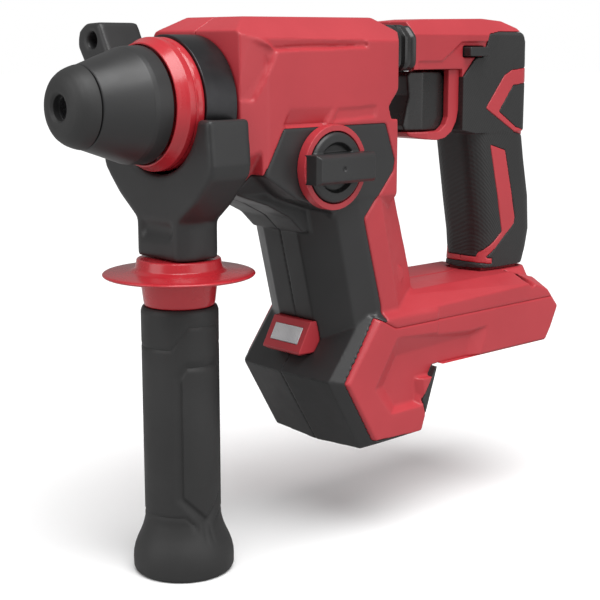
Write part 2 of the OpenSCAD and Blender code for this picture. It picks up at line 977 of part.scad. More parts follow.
// Two springs that press the handle back from the housing
module handle_springs() {
    color(steel) for (s = [-1, 1]) translate([176, s * 6, 24]) rotate([0, 90, 0]) coil(3.6, 0.7, 5, 32);
}

// Rubber bellows between the housing and the handle
module vibration_bellows() {
    section = [[-14, 34.5], [14, 34.5], [19, 29], [19, 15], [15, 12], [-15, 12], [-19, 15], [-19, 29]];
    color(black) difference() {
        union() {
            rib(section, 169.8, 176, 0);
            rib(section, 176, 179, -1.6);
            rib(section, 179, 182.5, 0);
            rib(section, 182.5, 185.5, -1.6);
            rib(section, 185.5, 191.7, 0);
        }
        rib(section, 160, 200, -4.5);
    }
}

module rib(section, x0, x1, grow) {
    translate([x0, 0, 0]) rotate([90, 0, 90]) linear_extrude(height = x1 - x0)
        offset(delta = grow) polygon(section);
}

module trigger() {
    color(black) {
        intersection() {
            side_plate(trigger_side, -10, 10);
            translate([0, 0, -20]) linear_extrude(height = 40)
                polygon([[195, -5.5], [199, -6.5], [206, -10], [224, -10], [224, 10], [206, 10], [199, 6.5], [195, 5.5]]);
        }
        translate([221, -8, -15]) cube([6.9, 16, 26.5]);
        translate([227, -3.5, -5.5]) cube([9, 7, 7]);
    }
}

module reverse_lever() {
    reach = beam_half + lever_travel + 1;
    color(black) translate([229.6, -reach, 19.3]) cube([15.4, 2 * reach, 4.7]);
}

// ---- Side handle ----

// Saddle that hangs below the collar, with an arm each side and the ear for the depth rod
module clamp_saddle() {
    front = 47.3;
    depth = 22.2;
    funnel = [
        [-37.5, -5], [-39.2, -24], [-38, -29], [-21.5, -47], [-19.5, -52], [-18, -66.5], [18, -66.5],
        [19.5, -52], [21.5, -47], [38, -29], [39.2, -24], [38.5, -5], [36, -5], [34, -5], [-34, -5]
    ];
    ear = [[28, -6], [39, -6], [52, 16], [57.5, 24], [56.5, 31], [51, 34.5], [40, 35], [32, 20]];
    color(black) difference() {
        intersection() {
            union() {
                translate([front, 0, 0]) rotate([90, 0, 90]) linear_extrude(height = depth) polygon(funnel);
                translate([front, 0, 0]) rotate([90, 0, 90]) linear_extrude(height = depth) polygon(ear);
            }
            union() {
                translate([0, 0, -40]) cube([200, 200, 200]);
                translate([0, -200, -40]) cube([200, 220, 60]);
                rod_z(side_x, -100, -29, 18.5);
                hull() {
                    rod_z(side_x, -50, -49.9, 18.5, fine_fn);
                    translate([front, -40, -30]) cube([depth, 80, 1]);
                }
            }
        }
        rod_x(30, 90, seat_d / 2 + 2.2);
        rod_z(side_x, -80, -30, 6.1);
        band_room();
        translate([30, 46, 27]) rotate([0, 90, 0]) cylinder(r = rod_bore_d / 2, h = 60, $fn = round_fn);
        rod_y([front - 4, -54], -11, 11, 6);
    }
}

// Slots for the band's tails, wider at the top, and the room for its cross plate
module band_room() {
    for (s = [-1, 1]) {
        translate([side_x - 6.5, s * tail_y - 1.2, -34.3]) cube([13, 2.4, 40]);
        translate([side_x - 8, s * 29.6 - 4.4, -16]) cube([16, 8.8, 20]);
    }
    translate([side_x - 6.5, -tail_y - 1.2, -34.3]) cube([13, 2 * tail_y + 2.4, 6]);
}

// Steel band around the collar; its tails and cross plate hang on the bolt below
module clamp_band() {
    r_in = seat_d / 2 + 0.1;
    color("darkslategray") {
        difference() {
            rod_x(53.2, 69.6, r_in + 1.7);
            rod_x(50, 75, r_in);
            translate([40, -50, -60]) cube([40, 100, 51]);
        }
        for (s = [-1, 1]) hull() {
            translate([side_x - 6, s * tail_y - 0.8, -34]) cube([12, 1.6, 1]);
            translate([side_x - 6, s * tail_y - 0.8, -17]) cube([12, 1.6, 1]);
        }
        for (s = [-1, 1]) hull() {
            translate([side_x - 6, s * tail_y - 0.8, -17]) cube([12, 1.6, 1]);
            translate([side_x - 6, s * (r_in + 0.3) - 0.8, -9]) cube([12, 1.6, 1]);
        }
        translate([side_x - 6, -tail_y - 0.8, -34]) cube([12, 2 * tail_y + 1.6, 3]);
    }
    color(steel) rod_z(side_x, -96, -31.5, 4);
}

// Red guard with its hub, and the core that carries the nut
module grip_core() {
    color(red) difference() {
        union() {
            rod_z(side_x, -73, -67, 19);
            rod_z(side_x, -75.2, -73, guard_d / 2);
            rod_z(side_x, -88, -75, 16.3);
            rod_z(side_x, -198, -87, 12);
        }
        rod_z(side_x, -98, -60, 4.35);
    }
}

// Soft grip with a flared end
module grip_sleeve() {
    r = grip_d / 2;
    color(black) difference() {
        translate([side_x, 0, 0]) rotate_extrude($fn = round_fn) polygon([
            [12.01, -88.2], [r - 0.3, -88.2], [r + 0.2, -92], [r + 0.5, -180], [r + 1.2, -188],
            [r + 3.2, -195], [r + 5.2, -199], [r + 6, -203], [r + 6, -208.5], [r + 4.6, -grip_drop],
            [6, -grip_drop], [6, -198.2], [12.01, -198.2]
        ]);
    }
}

housing_left();
housing_right();
front_cover_left();
front_cover_right();
foot_panel_left();
foot_panel_right();
nose_collar();
dial_bezel();
led_housing();
led_lens();
led_board();
gear_case();
stator_core();
stator_windings();
motor_bearings();
crank_bearings();
layshaft_bearing();
front_bearing();
rear_bearing();
oil_seal();
controller();
terminal_block();
battery_terminals();
housing_screws();
handle_pivot_pin();
spindle_tube();
spindle_gear();
locking_balls();
dust_cap();
sleeve_spring();
spring_washer();
locking_sleeve();
impact_bolt();
striker();
striker_ring();
piston();
piston_ring();
wrist_pin();
connecting_rod();
crankshaft();
crank_gear();
layshaft();
layshaft_gear();
rotor();
motor_shaft();
cooling_fan();
mode_knob();
handle_left();
handle_right();
handle_overmold();
trigger_guard();
switch_body();
handle_springs();
vibration_bellows();
trigger();
reverse_lever();
clamp_saddle();
clamp_band();
grip_core();
grip_sleeve();
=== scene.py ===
"""Looks of the rotary hammer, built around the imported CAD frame.

The script's lengths are millimetres until mesh_piece() turns them into metres.
The frame's origin is on the spindle axis at the dust cap's face. +X runs back, +Z up, and the mode knob
faces -Y.
"""
import json
from math import cos, exp, hypot, pi, radians, sin

import bmesh
import bpy
from mathutils import Matrix, Vector


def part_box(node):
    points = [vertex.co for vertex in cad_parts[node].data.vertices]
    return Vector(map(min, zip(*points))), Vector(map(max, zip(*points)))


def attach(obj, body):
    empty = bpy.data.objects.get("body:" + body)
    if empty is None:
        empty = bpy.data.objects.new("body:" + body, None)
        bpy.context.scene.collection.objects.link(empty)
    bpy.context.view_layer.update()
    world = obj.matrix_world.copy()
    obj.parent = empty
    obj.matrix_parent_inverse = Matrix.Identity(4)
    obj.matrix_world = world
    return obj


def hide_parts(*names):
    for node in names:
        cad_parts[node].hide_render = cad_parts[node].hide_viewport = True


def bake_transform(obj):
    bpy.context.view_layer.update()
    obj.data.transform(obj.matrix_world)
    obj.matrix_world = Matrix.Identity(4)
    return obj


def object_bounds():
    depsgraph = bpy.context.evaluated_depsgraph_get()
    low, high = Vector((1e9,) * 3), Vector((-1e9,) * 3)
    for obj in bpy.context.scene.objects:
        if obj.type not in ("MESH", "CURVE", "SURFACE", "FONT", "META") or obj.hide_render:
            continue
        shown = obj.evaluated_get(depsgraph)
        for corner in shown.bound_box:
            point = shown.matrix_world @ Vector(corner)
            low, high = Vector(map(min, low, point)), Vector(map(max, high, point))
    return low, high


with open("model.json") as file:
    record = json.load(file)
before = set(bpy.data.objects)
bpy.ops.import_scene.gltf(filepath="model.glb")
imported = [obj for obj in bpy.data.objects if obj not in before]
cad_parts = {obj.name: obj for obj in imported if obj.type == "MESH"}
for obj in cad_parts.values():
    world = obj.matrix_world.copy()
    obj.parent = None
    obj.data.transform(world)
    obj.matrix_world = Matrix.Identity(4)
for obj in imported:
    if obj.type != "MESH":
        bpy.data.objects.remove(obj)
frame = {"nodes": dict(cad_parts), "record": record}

NODES = frame["nodes"]
CAD_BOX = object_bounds()
MM = 0.001
SIDES = (-1, 1)
LEFT, RIGHT = -1, 1
SIDE_NAME = {LEFT: "left", RIGHT: "right"}


def box_mm(node):
    """Lowest and highest corner of a CAD node, in millimetres."""
    low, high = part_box(node)
    return low / MM, high / MM


# ---- Sizes worked out from the frame ----

collar_low = box_mm("nose_collar")[0]
cap_high = box_mm("dust_cap")[1]
sleeve_low, sleeve_high = box_mm("locking_sleeve")
knob_low, knob_high = box_mm("mode_knob")
grip_low, grip_high = box_mm("grip_sleeve")
bellows_low, bellows_high = box_mm("vibration_bellows")

GEAR_HALF = 34.0  # from the middle plane to the flat side of the gear housing
BEAM_HALF = 17.0  # from the middle plane to the flat side of the rear handle
FOOT_HALF = -box_mm("foot_panel_left")[0].y
GRIP_X = (grip_low.x + grip_high.x) / 2


# ---- Materials ----

def link_all(tree, pairs):
    for source, target in pairs:
        tree.links.new(source, target)


def noise_node(tree, coordinates, scale, detail=2.0, roughness=0.5):
    node = tree.nodes.new("ShaderNodeTexNoise")
    node.inputs["Scale"].default_value = scale
    node.inputs["Detail"].default_value = detail
    node.inputs["Roughness"].default_value = roughness
    tree.links.new(coordinates, node.inputs["Vector"])
    return node


def ramp_node(tree, value, low, high, a, b):
    """Colour that goes from a to b as value goes from low to high."""
    node = tree.nodes.new("ShaderNodeValToRGB")
    node.color_ramp.elements[0].position = low
    node.color_ramp.elements[1].position = high
    node.color_ramp.elements[0].color = (*a, 1)
    node.color_ramp.elements[1].color = (*b, 1)
    tree.links.new(value, node.inputs["Fac"])
    return node


def range_node(tree, value, low, high):
    node = tree.nodes.new("ShaderNodeMapRange")
    node.inputs["From Min"].default_value = 0.3
    node.inputs["From Max"].default_value = 0.7
    node.inputs["To Min"].default_value = low
    node.inputs["To Max"].default_value = high
    tree.links.new(value, node.inputs["Value"])
    return node


def bump_node(tree, height, distance, strength=1.0, below=None):
    node = tree.nodes.new("ShaderNodeBump")
    node.inputs["Distance"].default_value = distance
    node.inputs["Strength"].default_value = strength
    tree.links.new(height, node.inputs["Height"])
    if below is not None:
        tree.links.new(below.outputs["Normal"], node.inputs["Normal"])
    return node


def start_material(name):
    material = bpy.data.materials.new(name)
    material.use_nodes = True
    tree = material.node_tree
    shader = tree.nodes["Principled BSDF"]
    coordinates = tree.nodes.new("ShaderNodeTexCoord").outputs["Object"]
    return material, tree, shader, coordinates


def moulded(name, dark, light, rough, grain_size, grain_depth, coat=0.0, specular=0.5):
    """Moulded plastic or rubber: uneven colour, uneven gloss and the fine grain of the tool."""
    material, tree, shader, at = start_material(name)
    clouds = noise_node(tree, at, 22.0, 3.0)
    colour = ramp_node(tree, clouds.outputs["Fac"], 0.35, 0.65, dark, light)
    smears = noise_node(tree, at, 70.0, 4.0, 0.6)
    gloss = range_node(tree, smears.outputs["Fac"], rough[0], rough[1])
    grain = noise_node(tree, at, 1 / (grain_size * MM), 1.0)
    pits = noise_node(tree, at, 0.3 / (grain_size * MM), 2.0)
    soft = bump_node(tree, pits.outputs["Fac"], grain_depth * MM * 1.5, 0.6)
    fine = bump_node(tree, grain.outputs["Fac"], grain_depth * MM, 0.8, soft)
    shader.inputs["Coat Weight"].default_value = coat
    shader.inputs["Coat Roughness"].default_value = 0.18
    shader.inputs["Specular IOR Level"].default_value = specular
    link_all(tree, [
        (colour.outputs["Color"], shader.inputs["Base Color"]),
        (gloss.outputs["Result"], shader.inputs["Roughness"]),
        (fine.outputs["Normal"], shader.inputs["Normal"]),
    ])
    return material


def hatched(name, dark, light, rough, pitch, depth):
    """Soft rubber with fine slanting ribs moulded into it."""
    material, tree, shader, at = start_material(name)
    turn = tree.nodes.new("ShaderNodeMapping")
    turn.inputs["Rotation"].default_value = (0.35, radians(38), 0)
    wave = tree.nodes.new("ShaderNodeTexWave")
    wave.wave_profile = "SIN"
    wave.inputs["Scale"].default_value = 0.314 / (pitch * MM)
    wave.inputs["Distortion"].default_value = 0.15
    clouds = noise_node(tree, at, 30.0, 3.0)
    colour = ramp_node(tree, clouds.outputs["Fac"], 0.3, 0.7, dark, light)
    gloss = range_node(tree, clouds.outputs["Fac"], rough[0], rough[1])
    grain = noise_node(tree, at, 1600.0, 1.0)
    ribs = bump_node(tree, wave.outputs["Fac"], depth * MM, 0.7)
    fine = bump_node(tree, grain.outputs["Fac"], 0.02 * MM, 0.6, ribs)
    link_all(tree, [
        (at, turn.inputs["Vector"]),
        (turn.outputs["Vector"], wave.inputs["Vector"]),
        (colour.outputs["Color"], shader.inputs["Base Color"]),
        (gloss.outputs["Result"], shader.inputs["Roughness"]),
        (fine.outputs["Normal"], shader.inputs["Normal"]),
    ])
    return material


def metal(name, dark, light, rough, scratch_size, scratch_depth, stretch=(1, 1, 1)):
    """Worked metal: machining marks drawn out along one axis, and uneven gloss."""
    material, tree, shader, at = start_material(name)
    drawn = tree.nodes.new("ShaderNodeMapping")
    drawn.inputs["Scale"].default_value = stretch
    tree.links.new(at, drawn.inputs["Vector"])
    clouds = noise_node(tree, at, 60.0, 3.0)
    marks = noise_node(tree, drawn.outputs["Vector"], 1 / (scratch_size * MM), 3.0)
    colour = ramp_node(tree, clouds.outputs["Fac"], 0.3, 0.7, dark, light)
    gloss = range_node(tree, marks.outputs["Fac"], rough[0], rough[1])
    fine = bump_node(tree, marks.outputs["Fac"], scratch_depth * MM, 0.5)
    shader.inputs["Metallic"].default_value = 1.0
    link_all(tree, [
        (colour.outputs["Color"], shader.inputs["Base Color"]),
        (gloss.outputs["Result"], shader.inputs["Roughness"]),
        (fine.outputs["Normal"], shader.inputs["Normal"]),
    ])
    return material


def frosted(name):
    """Clear lens with a ribbed inner face that spreads the light."""
    material, tree, shader, at = start_material(name)
    wave = tree.nodes.new("ShaderNodeTexWave")
    wave.bands_direction = "Y"
    wave.inputs["Scale"].default_value = 0.314 / (1.1 * MM)
    clouds = noise_node(tree, at, 90.0, 2.0)
    colour = ramp_node(tree, clouds.outputs["Fac"], 0.3, 0.7, (0.72, 0.74, 0.76), (0.88, 0.89, 0.9))
    gloss = range_node(tree, clouds.outputs["Fac"], 0.12, 0.2)
    ribs = bump_node(tree, wave.outputs["Fac"], 0.15 * MM, 0.6)
    shader.inputs["Transmission Weight"].default_value = 0.25
    shader.inputs["IOR"].default_value = 1.5
    link_all(tree, [
        (at, wave.inputs["Vector"]),
        (colour.outputs["Color"], shader.inputs["Base Color"]),
        (gloss.outputs["Result"], shader.inputs["Roughness"]),
        (ribs.outputs["Normal"], shader.inputs["Normal"]),
    ])
    return material


RED = moulded("red_plastic", (0.45, 0.034, 0.045), (0.50, 0.040, 0.052), (0.36, 0.46), 0.45, 0.012)
RED_GLOSS = moulded("red_gloss", (0.46, 0.018, 0.028), (0.51, 0.024, 0.034), (0.22, 0.30), 0.6, 0.005, 0.25)
BLACK = moulded("black_plastic", (0.019, 0.019, 0.0195), (0.024, 0.024, 0.0245), (0.38, 0.48), 0.45, 0.014)
BLACK_GLOSS = moulded("black_gloss", (0.016, 0.016, 0.016), (0.021, 0.021, 0.021), (0.24, 0.32), 0.6, 0.005)
RUBBER = moulded("soft_rubber", (0.016, 0.016, 0.016), (0.022, 0.022, 0.022), (0.50, 0.62), 0.35, 0.02)
RUBBER_HATCHED = hatched(
    "hatched_rubber", (0.016, 0.016, 0.016), (0.022, 0.022, 0.022), (0.46, 0.56), 1.1, 0.10
)
BLACK_STEEL = metal(
    "black_steel", (0.045, 0.045, 0.048), (0.07, 0.07, 0.073), (0.34, 0.44), 0.5, 0.01, (6, 1, 1)
)
STEEL = metal("steel", (0.50, 0.50, 0.51), (0.64, 0.64, 0.65), (0.22, 0.36), 0.4, 0.008, (1, 1, 5))
ALLOY = metal("cast_alloy", (0.50, 0.51, 0.52), (0.62, 0.62, 0.64), (0.42, 0.60), 0.8, 0.05)
COPPER = metal("copper", (0.60, 0.27, 0.13), (0.76, 0.38, 0.20), (0.25, 0.38), 0.3, 0.02, (1, 1, 0.2))
BOARD = moulded("board", (0.010, 0.10, 0.040), (0.016, 0.14, 0.055), (0.25, 0.40), 0.8, 0.01)
LENS = frosted("lens")

SLOT_MATERIAL = {
    "red_plastic": RED, "black_plastic": BLACK, "soft_rubber": RUBBER, "black_steel": BLACK_STEEL,
    "steel": STEEL, "cast_alloy": ALLOY, "copper": COPPER, "lens": LENS, "board": BOARD,
}
NODE_SLOT = {part["node"]: part["material_slot"] for part in frame["record"]["subparts"]}
NODE_BODY = {n: body for body, names in frame["record"]["behaviour"]["bodies"].items() for n in names}


# ---- Mesh tools ----

def mesh_piece(name, bm, scale=MM):
    """An object made from bm, whose lengths are in millimetres unless scale says otherwise."""
    bmesh.ops.recalc_face_normals(bm, faces=bm.faces)
    mesh = bpy.data.meshes.new(name)
    bm.to_mesh(mesh)
    bm.free()
    mesh.transform(Matrix.Scale(scale, 4))
    made = bpy.data.objects.new(name, mesh)
    bpy.context.scene.collection.objects.link(made)
    return made


def set_mesh(piece, mesh):
    old = piece.data
    piece.modifiers.clear()
    piece.data = mesh
    bpy.data.meshes.remove(old)


def applied(piece):
    """Makes the piece's modifiers part of its mesh."""
    view = bpy.context.evaluated_depsgraph_get()
    view.update()
    set_mesh(piece, bpy.data.meshes.new_from_object(piece.evaluated_get(view)))
    return piece


def smooth(piece, sharp_angle=40):
    """Smooth shading, with edges over the angle kept sharp."""
    piece.data.polygons.foreach_set("use_smooth", [True] * len(piece.data.polygons))
    piece.data.set_sharp_from_angle(angle=radians(sharp_angle))
    return piece


def cad_copy(name, node):
    """A new object with the shape of a CAD node, welded so that it can be worked on."""
    bm = bmesh.new()
    bm.from_mesh(NODES[node].data)
    bmesh.ops.remove_doubles(bm, verts=bm.verts, dist=0.002 * MM)
    return mesh_piece(name, bm, 1.0)


def cut(piece, *tools, join=False):
    """Cuts the tools out of the piece, or joins them to it."""
    for tool in tools:
        step = piece.modifiers.new("cut", "BOOLEAN")
        step.operation = "UNION" if join else "DIFFERENCE"
        step.solver = "EXACT"
        step.object = tool
        applied(piece)
        bpy.data.objects.remove(tool)
    return piece


def flat_faces(piece):
    """Joins the triangles of each flat face."""
    bm = bmesh.new()
    bm.from_mesh(piece.data)
    bmesh.ops.remove_doubles(bm, verts=bm.verts, dist=0.004 * MM)
    bmesh.ops.dissolve_limit(bm, angle_limit=radians(0.6), verts=bm.verts, edges=bm.edges)
    bm.to_mesh(piece.data)
    bm.free()
    return piece


def bevelled(piece, width):
    """Rounds the piece's edges as a mould does."""
    flat_faces(piece)
    step = piece.modifiers.new("bevel", "BEVEL")
    step.limit_method = "ANGLE"
    step.angle_limit = radians(28)
    step.width = width * MM
    step.segments = 2
    step.use_clamp_overlap = False
    step.harden_normals = False
    even = piece.modifiers.new("normals", "WEIGHTED_NORMAL")
    even.keep_sharp = True
    piece.data.polygons.foreach_set("use_smooth", [True] * len(piece.data.polygons))
    return applied(piece)


def finish_piece(piece, material, slot, body, *replaced):
    piece.data.materials.clear()
    piece.data.materials.append(material)
    if body is not None:
        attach(piece, body)
    if replaced:
        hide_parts(*replaced)
    return piece


def softened(piece, cell, rounds):
    """Remakes the surface in even cells and rubs it smooth, for cast and soft shapes."""
    grid = piece.modifiers.new("grid", "REMESH")
    grid.mode = "VOXEL"
    grid.voxel_size = cell * MM
    grid.use_smooth_shade = True
    rub = piece.modifiers.new("rub", "SMOOTH")
    rub.factor = 0.5
    rub.iterations = rounds
    thin = piece.modifiers.new("thin", "DECIMATE")
    thin.decimate_type = "DISSOLVE"
    thin.angle_limit = radians(0.7)
    even = piece.modifiers.new("normals", "WEIGHTED_NORMAL")
    even.keep_sharp = True
    return applied(piece)


def soft_from_cad(node, material, cell, rounds, cuts=()):
    """A finished piece with the shape of a CAD node, its edges all rubbed round."""
    piece = cad_copy(node + "_piece", node)
    cut(piece, *cuts)
    softened(piece, cell, rounds)
    return finish_piece(piece, material, NODE_SLOT[node], NODE_BODY[node], node)


def from_cad(node, material, width):
    """A finished piece with the shape of a CAD node, its edges bevelled."""
    piece = cad_copy(node + "_piece", node)
    bevelled(piece, width)
    return finish_piece(piece, material, NODE_SLOT[node], NODE_BODY[node], node)


def loft(name, loops):
    """A closed solid through loops of points, each with the same number of points."""
    bm = bmesh.new()
    rings = [[bm.verts.new(p) for p in loop] for loop in loops]
    count = len(rings[0])
    for a, b in zip(rings, rings[1:]):
        for i in range(count):
            bm.faces.new((a[i], a[(i + 1) % count], b[(i + 1) % count], b[i]))
    bm.faces.new(rings[0][::-1])
    bm.faces.new(rings[-1])
    return mesh_piece(name, bm)


def side_pocket(wide, floor, surface, depth, side):
    """A pocket in a flat side whose walls slope from the wide outline to the floor's."""
    return loft("tool", [
        [(x, side * (surface + 6), z) for x, z in wide],
        [(x, side * (surface + 0.01), z) for x, z in wide],
        [(x, side * (surface - depth), z) for x, z in floor],
    ])


def inset(points, distance):
    """The outline moved inwards by a distance, for an outline of [x, z] points in order."""
    area = sum(a[0] * b[1] - b[0] * a[1] for a, b in zip(points, points[1:] + points[:1]))
    turn = 1 if area > 0 else -1
    moved = []
    for i, here in enumerate(points):
        before, after = points[i - 1], points[(i + 1) % len(points)]
        a = Vector((here[0] - before[0], here[1] - before[1])).normalized()
        b = Vector((after[0] - here[0], after[1] - here[1])).normalized()
        na, nb = Vector((-a.y, a.x)) * turn, Vector((-b.y, b.x)) * turn
        middle = (na + nb).normalized()
        reach = distance / max(0.3, middle.dot(na))
        moved.append((here[0] + middle.x * reach, here[1] + middle.y * reach))
    return moved


def rounded(profile, radius, steps=4):
    """The profile with its corners rounded by short curves. Its ends stay."""
    out = [profile[0]]
    for before, here, after in zip(profile, profile[1:], profile[2:]):
        b, h, a = Vector(before), Vector(here), Vector(after)
        reach = min(radius, (h - b).length * 0.45, (a - h).length * 0.45)
        start, end = h + (b - h).normalized() * reach, h + (a - h).normalized() * reach
        for i in range(steps + 1):
            t = i / steps
            out.append(tuple(start * (1 - t) ** 2 + h * 2 * t * (1 - t) + end * t ** 2))
    out.append(profile[-1])
    return out


def lathe(name, profile, axis="x", centre=(0, 0, 0), steps=144, shift=None):
    """Turns a closed profile of (along, radius) points round an axis.

    shift(along, radius, angle) may add to the radius.
    """
    bm = bmesh.new()
    rings = []
    for i in range(steps):
        angle = 2 * pi * i / steps
        ring = []
        for along, radius in profile:
            r = radius + (shift(along, radius, angle) if shift else 0)
            across = (r * cos(angle), r * sin(angle))
            place = {
                "x": (along, *across), "y": (across[0], along, across[1]), "z": (*across, along),
            }[axis]
            ring.append(bm.verts.new(Vector(place) + Vector(centre)))
        rings.append(ring)
    count = len(profile)
    for i in range(steps):
        a, b = rings[i], rings[(i + 1) % steps]
        for j in range(count):
            k = (j + 1) % count
            bm.faces.new((a[j], a[k], b[k], b[j]))
    bmesh.ops.remove_doubles(bm, verts=bm.verts, dist=1e-4)
    return mesh_piece(name, bm)


# ---- Housing ----

TAPER_START = collar_low.x + 29.7
TAPER_HALF = 30.0  # half width where the taper starts
TAPER_SLOPE = 5 / 15.7


def gear_skin(x):
    """Half width of the gear housing at a station, where its front tapers."""
    return min(GEAR_HALF, TAPER_HALF + TAPER_SLOPE * (x - TAPER_START))


def wedge(points, side):
    """A groove in the side of the gear housing, from (x, z, depth) points. Its floor slopes."""
    return loft("tool", [
        [(x, side * (GEAR_HALF + 6), z) for x, z, _ in points],
        [(x, side * (gear_skin(x) - depth), z) for x, z, depth in points],
    ])


FLUSH, DEEP = -0.02, 2.05
GROOVE_TOP = [(79, 28.4, FLUSH), (140.8, 28.6, FLUSH), (143.6, 23.8, DEEP), (88, 22.4, DEEP)]
GROOVE_FRONT = [(75, 27.6, FLUSH), (88.5, 22.6, 1.0), (76.5, 1.5, 1.1), (67, 1.5, FLUSH)]
GROOVE_LOW = [(95.4, -1.9, FLUSH), (121.8, -1.9, FLUSH), (116.6, -9.9, DEEP), (91.2, -9.9, DEEP)]
PLATE = [(124, -2.9), (149.0, -2.1), (148.6, -7.6), (120.6, -8.9)]


def housing_cuts(side):
    grooves = [wedge(points, side) for points in (GROOVE_TOP, GROOVE_FRONT, GROOVE_LOW)]
    return grooves + [side_pocket(PLATE, inset(PLATE, 0.3), GEAR_HALF, 0.8, side)]


for side in SIDES:
    node = "housing_" + SIDE_NAME[side]
    soft_from_cad(node, RED, 0.75, 4, housing_cuts(side))
    node = "front_cover_" + SIDE_NAME[side]
    soft_from_cad(node, BLACK, 0.7, 4)

POCKET_WIDE = [
    (160.7, -112.3), (216.3, -115.9), (234.4, -115.0), (224, -136), (180, -136), (181, -146),
    (179.5, -149.8), (156.6, -150), (145.4, -135.5),
]
POCKET_FLOOR = [
    (163.3, -122.4), (212.5, -120.2), (218, -120.3), (214, -136), (176, -136), (177, -143),
    (176, -147.2), (162.6, -147.2), (154.5, -135.5),
]
MARK = [(234.5, -106.6), (258, -107.3), (270, -120.5), (249.7, -120.5)]

for side in SIDES:
    node = "foot_panel_" + SIDE_NAME[side]
    soft_from_cad(node, RED, 0.6, 5, [
        side_pocket(POCKET_WIDE, POCKET_FLOOR, FOOT_HALF, 3.6, side),
        side_pocket(MARK, inset(MARK, 0.4), FOOT_HALF, 0.5, side),
    ])

soft_from_cad("dial_bezel", RED, 0.35, 3)
soft_from_cad("led_housing", RED, 0.3, 2)
from_cad("led_lens", LENS, 0.3)
soft_from_cad("clamp_saddle", BLACK, 0.8, 26)
from_cad("clamp_band", BLACK_STEEL, 0.4)
soft_from_cad("trigger", BLACK_GLOSS, 0.45, 8)
soft_from_cad("trigger_guard", RED, 0.4, 5)
from_cad("reverse_lever", BLACK, 0.8)
LEVER_BAY = [(195, 17.2), (212.4, 17.1), (221.8, 22.9), (227.2, 26.5), (249, 26.9), (249, 8), (195, 8)]
for side in SIDES:
    bay = side_pocket(LEVER_BAY, inset(LEVER_BAY, 0.4), BEAM_HALF, 0.8, side)
    soft_from_cad("handle_" + SIDE_NAME[side], RED, 0.5, 5, [bay])
soft_from_cad("handle_overmold", RUBBER_HATCHED, 0.5, 8)


def mode_knob():
    """The knob: a dished disc with a bar across it."""
    centre = (knob_low + knob_high) / 2
    face, rear, tip = -40.3, knob_high.y, knob_low.y
    disc = lathe("mode_knob_piece", [
        (rear, 0.01), (rear, 5.0), (-36.0, 5.0), (-36.0, 13.4), (-35.5, 15.6), (-39.3, 15.7), (face, 14.7),
        (face, 11.2), (-37.9, 10.2), (-37.9, 0.01),
    ], "y", (centre.x, 0, centre.z), 96)
    bar = loft("bar", [
        [(centre.x + sx * half, y, centre.z + sz * height) for sx, sz in ((-1, -1), (1, -1), (1, 1), (-1, 1))]
        for y, half, height in ((-37.5, 18, 6.5), (-45.5, 18, 6.5), (tip, 16.5, 5.0))
    ])
    cut(disc, bar, join=True)
    dot = [(centre.x - 2.5 + 1.1 * cos(pi * i / 6), centre.z + 1.1 * sin(pi * i / 6)) for i in range(12)]
    cut(disc, side_pocket(dot, inset(dot, 0.15), -tip, 0.9, LEFT))
    softened(disc, 0.35, 5)
    return finish_piece(disc, BLACK, "black_plastic", "mode_knob", "mode_knob")


mode_knob()


# ---- Turned pieces ----

def dust_cap():
    hole = 5.3
    profile = rounded([
        (1.2, hole), (0.0, hole + 1.1), (0.0, 9.2), (0.9, 12.0), (2.6, 14.2), (5.0, 15.8), (7.6, 16.8),
        (cap_high.x - 0.35, 17.35), (cap_high.x, 16.9), (cap_high.x, 10.5), (4.0, 10.5), (4.0, hole),
    ], 0.9)
    piece = smooth(lathe("dust_cap_piece", profile))
    return finish_piece(piece, RUBBER, "soft_rubber", "spindle", "dust_cap")


def locking_sleeve():
    front, rear = sleeve_low.x, sleeve_high.x
    profile = rounded([
        (front, 11.3), (front, 17.0), (front + 0.4, 17.45), (30.4, 24.1), (31.0, 24.35), (33, 24.7),
        (rear - 0.6, 24.9), (rear, 24.3), (rear, 21), (28, 21), (28, 16), (20.3, 16), (20.3, 11.3),
    ], 0.25)
    piece = smooth(lathe("locking_sleeve_piece", profile))
    return finish_piece(piece, BLACK, "black_plastic", "sleeve", "locking_sleeve")


def nose_collar():
    front = collar_low.x

    def ribs(along, radius, angle):
        """Shallow facets round the red ring."""
        share = exp(-((along - 50.3) / 1.2) ** 2) if radius > 27.8 else 0
        return -0.35 * share * (0.5 + 0.5 * cos(20 * angle)) ** 6

    profile = rounded([
        (front, 25.4), (front, 26.0), (42.2, 26.6), (44.2, 27.5), (45.6, 28.35),
        (48.3, 28.4), (49.2, 27.6), (50.0, 28.2), (51.6, 28.4), (52.9, 28.2), (52.9, 27.6),
        (69.9, 27.6), (69.9, 24), (74, 24), (74, 20), (56, 20), (56, 16.05), (42, 16.05), (42, 19),
        (47.5, 19), (47.5, 25.4),
    ], 0.3)
    piece = smooth(lathe("nose_collar_piece", profile, shift=ribs))
    return finish_piece(piece, RED_GLOSS, "red_plastic", "housing", "nose_collar")


dust_cap()
locking_sleeve()
nose_collar()


# ---- Side grip ----

def distance_to_line(p, points, closed=False):
    """Distance from p to a line through points, all (u, z) in millimetres."""
    ends = list(zip(points, points[1:] + points[:1])) if closed else list(zip(points, points[1:]))
    best = 1e9
    for a, b in ends:
        ab = (b[0] - a[0], b[1] - a[1])
        t = ((p[0] - a[0]) * ab[0] + (p[1] - a[1]) * ab[1]) / (ab[0] ** 2 + ab[1] ** 2)
        t = min(1, max(0, t))
        best = min(best, hypot(p[0] - a[0] - t * ab[0], p[1] - a[1] - t * ab[1]))
    return best


def inside(p, points):
    hit = False
    for a, b in zip(points, points[1:] + points[:1]):
        if (a[1] > p[1]) != (b[1] > p[1]):
            hit ^= p[0] < (b[0] - a[0]) * (p[1] - a[1]) / (b[1] - a[1]) + a[0]
    return hit


